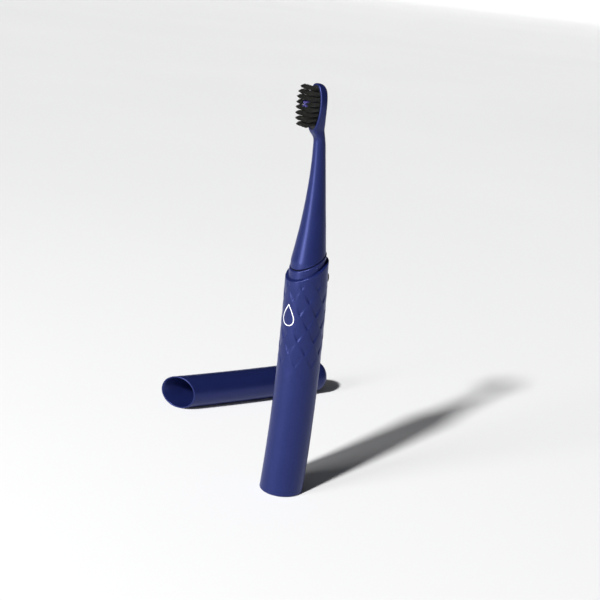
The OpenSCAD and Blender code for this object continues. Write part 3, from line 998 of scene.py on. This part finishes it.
star_face = star_low.x + 0.9
star_foot = plate_high.x - 0.1
star_rings = [star_ring(star_foot, 0.3), star_ring(star_foot, 0.0), star_ring(star_face + 0.2, 0.06),
              star_ring(star_face + 0.05, 0.12), star_ring(star_face, 0.22), star_ring(star_face, 0.4)]
star = link_piece("polish_cross", *skin(star_rings), "head", crease=50)
dress(star, violet)
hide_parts("polish_star")

# ---- Tongue pad ----
# The ridged pad on the back of the head, for cleaning the tongue. It is moulded over the head in
# the same blue, and its edges run out into the head's back.
pad_inset = 1.3
pad_low, pad_high = span("tongue_pad")
ridge_pitch = 2.3
pad_rows = 190
pad_columns = 26
pad_rings = []


def pad_back(z):
    """Where the back of the head stands at height z."""
    return head_section(0, z)[0]


low_z = pad_low.z - 0.1
high_z = pad_high.z + 0.1
for k in range(pad_rows + 1):
    z = low_z + (high_z - low_z) * k / pad_rows
    half = max(0.05, racket_w(z, pad_inset))
    ridge = max(0, math.sin(math.tau * (z - low_z) / ridge_pitch)) ** 0.7
    at_ends = ease(low_z, low_z + 0.8, z) * (1 - ease(high_z - 0.8, high_z, z))
    line = []
    for i in range(pad_columns + 1):
        share = 2 * i / pad_columns - 1
        edge = (1 - abs(share) ** 6) * at_ends
        x = pad_back(z) - 0.15 - 0.5 * share ** 4 + (0.35 + 0.42 * ridge) * edge
        line.append((x, half * share, z))
    back_line = [(pad_back(z) - 0.9, half * (1 - 2 * i / 3), z) for i in range(4)]
    pad_rings.append(line + back_line)
tongue = link_piece("tongue_ridges", *skin(pad_rings), "head", crease=50)
dress(tongue, pearl_blue)
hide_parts("tongue_pad")

# ---- Travel cap ----
# A long thin-walled cap moulded in the same blue, bowed like the brush, with a slanted mouth and a
# round closed end. It pushes over the collar's pips, and lies here on its side beside the brush.
cap_low, cap_high = span("travel_cap")
cap_r = (cap_high.z - cap_low.z) / 2
cap_wall = 0.65
cap_end = 6
cap_length = 100
cap_mouth_x = cap_high.x - cap_length
cap_y = cap_high.y - cap_r
lip = 0.2
turns = [math.tau * i / 176 for i in range(176)]


def cap_point(angle, s, radius):
    """A point of the cap at distance s from its mouth, turned from upright to lying."""
    out = s * (cap_length - s) / (2 * BEND) + radius * math.cos(angle)
    return cap_mouth_x + s, cap_y - out, cap_r - radius * math.sin(angle)


def mouth_depth(angle, radius, drop):
    """How far along the cap its slanted mouth lies on this side."""
    s = 0
    for _ in range(12):
        s = drop + RISE * (s * (cap_length - s) / (2 * BEND) + radius * math.cos(angle))
    return s


def cap_end_rings(radius, length, end):
    """The round closed end, from its tip to the straight wall."""
    made = []
    for inset, drop in reversed(quarter_round(end, 13)[1:]):
        made.append([cap_point(a, length - drop, max(tip_r, radius - inset)) for a in turns])
    return made


inner_r = cap_r - cap_wall
middle_r = (cap_r + inner_r) / 2
straight_end = cap_length - cap_end
even = 14                # the rows tilt towards the mouth from here
inside_end = cap_length - cap_wall
cap_rings = [[cap_point(a, cap_length, tip_r) for a in turns]]
cap_rings += cap_end_rings(cap_r, cap_length, cap_end)
for k in range(61):
    cap_rings.append([cap_point(a, straight_end + (even - straight_end) * k / 60, cap_r) for a in turns])
for k in range(1, 15):
    share = k / 14
    depths = [even + (mouth_depth(a, cap_r, lip) - even) * share for a in turns]
    cap_rings.append([cap_point(a, depth, cap_r) for a, depth in zip(turns, depths)])
for k in range(1, 9):
    rolled = math.pi * k / 8
    radius = middle_r + cap_wall / 2 * math.cos(rolled)
    drop = lip * (1 - math.sin(rolled))
    cap_rings.append([cap_point(a, mouth_depth(a, radius, drop), radius) for a in turns])
for k in range(1, 15):
    share = k / 14
    depths = [mouth_depth(a, inner_r, lip) * (1 - share) + even * share for a in turns]
    cap_rings.append([cap_point(a, depth, inner_r) for a, depth in zip(turns, depths)])
for k in range(1, 61):
    cap_rings.append([cap_point(a, even + (straight_end - even) * k / 60, inner_r) for a in turns])
cap_rings += reversed(cap_end_rings(inner_r, inside_end, cap_end - cap_wall))
cap_rings.append([cap_point(a, inside_end, tip_r) for a in turns])
cap = link_piece("travel_cap_shell", *skin(cap_rings), "cap")
dress(cap, pearl_blue)
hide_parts("travel_cap")
